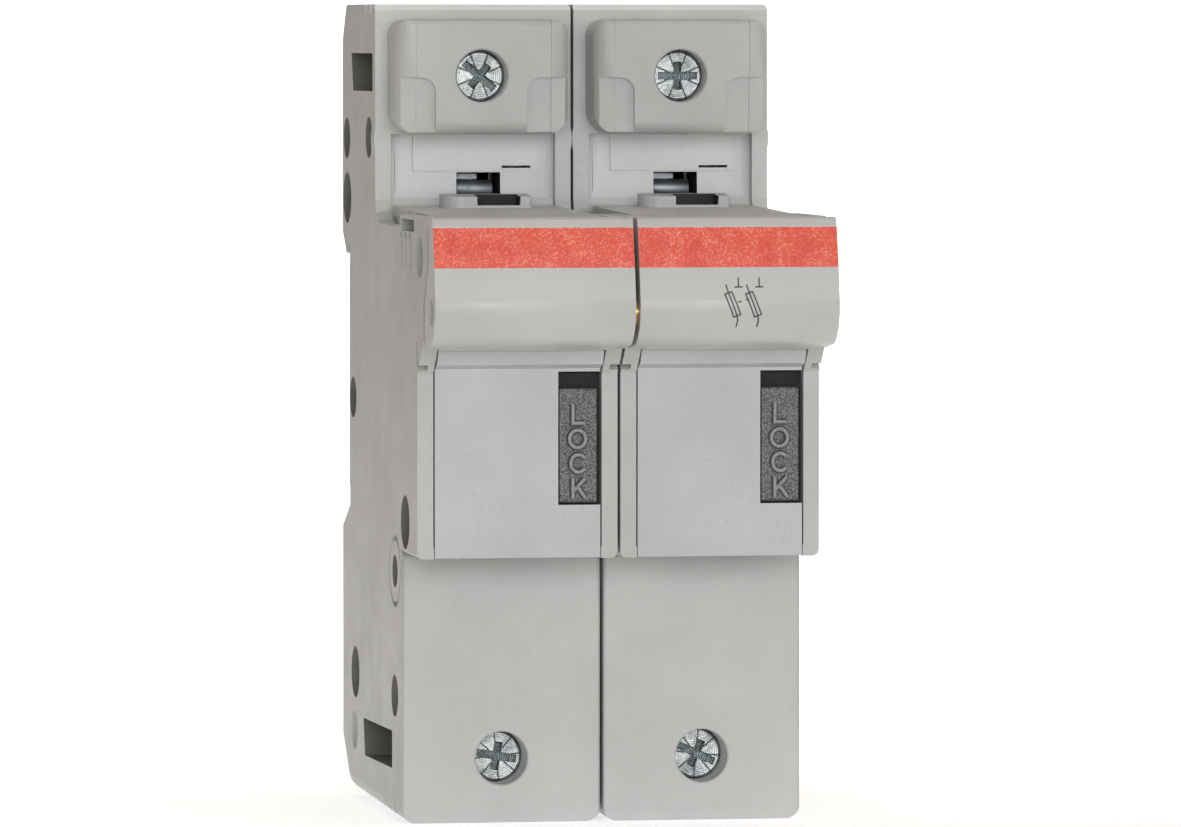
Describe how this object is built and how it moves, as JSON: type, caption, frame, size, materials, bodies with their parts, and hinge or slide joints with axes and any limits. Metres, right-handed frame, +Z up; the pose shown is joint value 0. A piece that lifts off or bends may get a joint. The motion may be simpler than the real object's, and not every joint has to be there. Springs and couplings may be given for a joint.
{
  "type": "cartridge fuse holder",
  "caption": "Modular rail-mounted fuse switch whose tied nose carriers swing out with their cylindrical fuses; screw cage clamps at both ends.",
  "frame": {"origin": "centre of the rail seat: on the rail's face, at the rail's mid height, between the two poles", "axes": "+X to the operator's right along the rail, -Y out of the panel towards the operator, +Z up"},
  "size_m": [0.054, 0.0775, 0.1084],
  "materials": {
    "housing": "fine spark-eroded moulded texture, light warm grey",
    "label_face": "smooth printed grip, pale grey with an orange-red band",
    "lock_black": "grainy black",
    "screw_zinc": "bright zinc plate",
    "cage_steel": "passivated steel",
    "contact_plate": "tin-plated copper, dull silver",
    "spring_steel": "bare spring steel",
    "cap_metal": "nickel plate",
    "rivet_steel": "plated tubular rivet",
    "ceramic": null,
    "brass": "turned brass"
  },
  "bodies": {
    "housing": {"shell_left_1": "housing", "shell_right_1": "housing", "cover_top_1": "housing", "cover_low_1": "housing", "contact_top_1": "contact_plate", "contact_low_1": "contact_plate", "jaw_spring_top_1": "spring_steel", "jaw_spring_low_1": "spring_steel", "clip_spring_1": "spring_steel", "rivets_1": "rivet_steel", "shell_left_2": "housing", "shell_right_2": "housing", "cover_top_2": "housing", "cover_low_2": "housing", "contact_top_2": "contact_plate", "contact_low_2": "contact_plate", "jaw_spring_top_2": "spring_steel", "jaw_spring_low_2": "spring_steel", "clip_spring_2": "spring_steel", "rivets_2": "rivet_steel", "pole_pins": "housing"},
    "carrier_left": {"carrier_1": "housing", "grip_1": "label_face", "fuse_body_1": "ceramic", "fuse_caps_1": "cap_metal", "tie_pin": "brass"},
    "lock_left": {"lock_slider_1": "lock_black"},
    "screw_top_left": {"screw_top_1": "screw_zinc"},
    "cage_top_left": {"cage_top_1": "cage_steel"},
    "screw_low_left": {"screw_low_1": "screw_zinc"},
    "cage_low_left": {"cage_low_1": "cage_steel"},
    "clip_left": {"rail_clip_1": "housing"},
    "carrier_right": {"carrier_2": "housing", "grip_2": "label_face", "fuse_body_2": "ceramic", "fuse_caps_2": "cap_metal"},
    "lock_right": {"lock_slider_2": "lock_black"},
    "screw_top_right": {"screw_top_2": "screw_zinc"},
    "cage_top_right": {"cage_top_2": "cage_steel"},
    "screw_low_right": {"screw_low_2": "screw_zinc"},
    "cage_low_right": {"cage_low_2": "cage_steel"},
    "clip_right": {"rail_clip_2": "housing"}
  },
  "joints": [
    {"name": "carrier_left_open", "type": "hinge", "parent": "housing", "child": "carrier_left", "pos_m": [-0.0135, -0.0474, -0.0179], "axis": [1, 0, 0], "range_deg": [0, 75]},
    {"name": "lock_left_pull", "type": "slide", "parent": "carrier_left", "child": "lock_left", "axis": [0, -1, 0], "range_m": [0, 0.011]},
    {"name": "screw_top_left_turn", "type": "hinge", "parent": "housing", "child": "screw_top_left", "pos_m": [-0.0135, -0.0275, 0.0408], "axis": [0, 1, 0], "range_deg": [0, 2165]},
    {"name": "cage_top_left_lift", "type": "slide", "parent": "housing", "child": "cage_top_left", "axis": [0, -1, 0], "range_m": [0, 0.006]},
    {"name": "screw_low_left_turn", "type": "hinge", "parent": "housing", "child": "screw_low_left", "pos_m": [-0.0135, -0.0408, -0.0494], "axis": [0, 1, 0], "range_deg": [0, 2165]},
    {"name": "cage_low_left_lift", "type": "slide", "parent": "housing", "child": "cage_low_left", "axis": [0, -1, 0], "range_m": [0, 0.006]},
    {"name": "clip_left_release", "type": "slide", "parent": "housing", "child": "clip_left", "axis": [0, 0, -1], "range_m": [0, 0.004], "stiffness_N_per_m": 1500, "springref_m": -0.003, "deforming": ["clip_spring_1"]},
    {"name": "carrier_right_open", "type": "hinge", "parent": "housing", "child": "carrier_right", "pos_m": [0.0135, -0.0474, -0.0179], "axis": [1, 0, 0], "range_deg": [0, 75]},
    {"name": "lock_right_pull", "type": "slide", "parent": "carrier_right", "child": "lock_right", "axis": [0, -1, 0], "range_m": [0, 0.011]},
    {"name": "screw_top_right_turn", "type": "hinge", "parent": "housing", "child": "screw_top_right", "pos_m": [0.0135, -0.0275, 0.0408], "axis": [0, 1, 0], "range_deg": [0, 2165]},
    {"name": "cage_top_right_lift", "type": "slide", "parent": "housing", "child": "cage_top_right", "axis": [0, -1, 0], "range_m": [0, 0.006]},
    {"name": "screw_low_right_turn", "type": "hinge", "parent": "housing", "child": "screw_low_right", "pos_m": [0.0135, -0.0408, -0.0494], "axis": [0, 1, 0], "range_deg": [0, 2165]},
    {"name": "cage_low_right_lift", "type": "slide", "parent": "housing", "child": "cage_low_right", "axis": [0, -1, 0], "range_m": [0, 0.006]},
    {"name": "clip_right_release", "type": "slide", "parent": "housing", "child": "clip_right", "axis": [0, 0, -1], "range_m": [0, 0.004], "stiffness_N_per_m": 1500, "springref_m": -0.003, "deforming": ["clip_spring_2"]}
  ],
  "couplings": [
    {"joint": "screw_top_left_turn", "follows": "cage_top_left_lift", "rad_per_m": 6283.2},
    {"joint": "screw_low_left_turn", "follows": "cage_low_left_lift", "rad_per_m": 6283.2},
    {"joint": "screw_top_right_turn", "follows": "cage_top_right_lift", "rad_per_m": 6283.2},
    {"joint": "screw_low_right_turn", "follows": "cage_low_right_lift", "rad_per_m": 6283.2},
    {"joint": "carrier_right_open", "follows": "carrier_left_open", "ratio": 1}
  ]
}
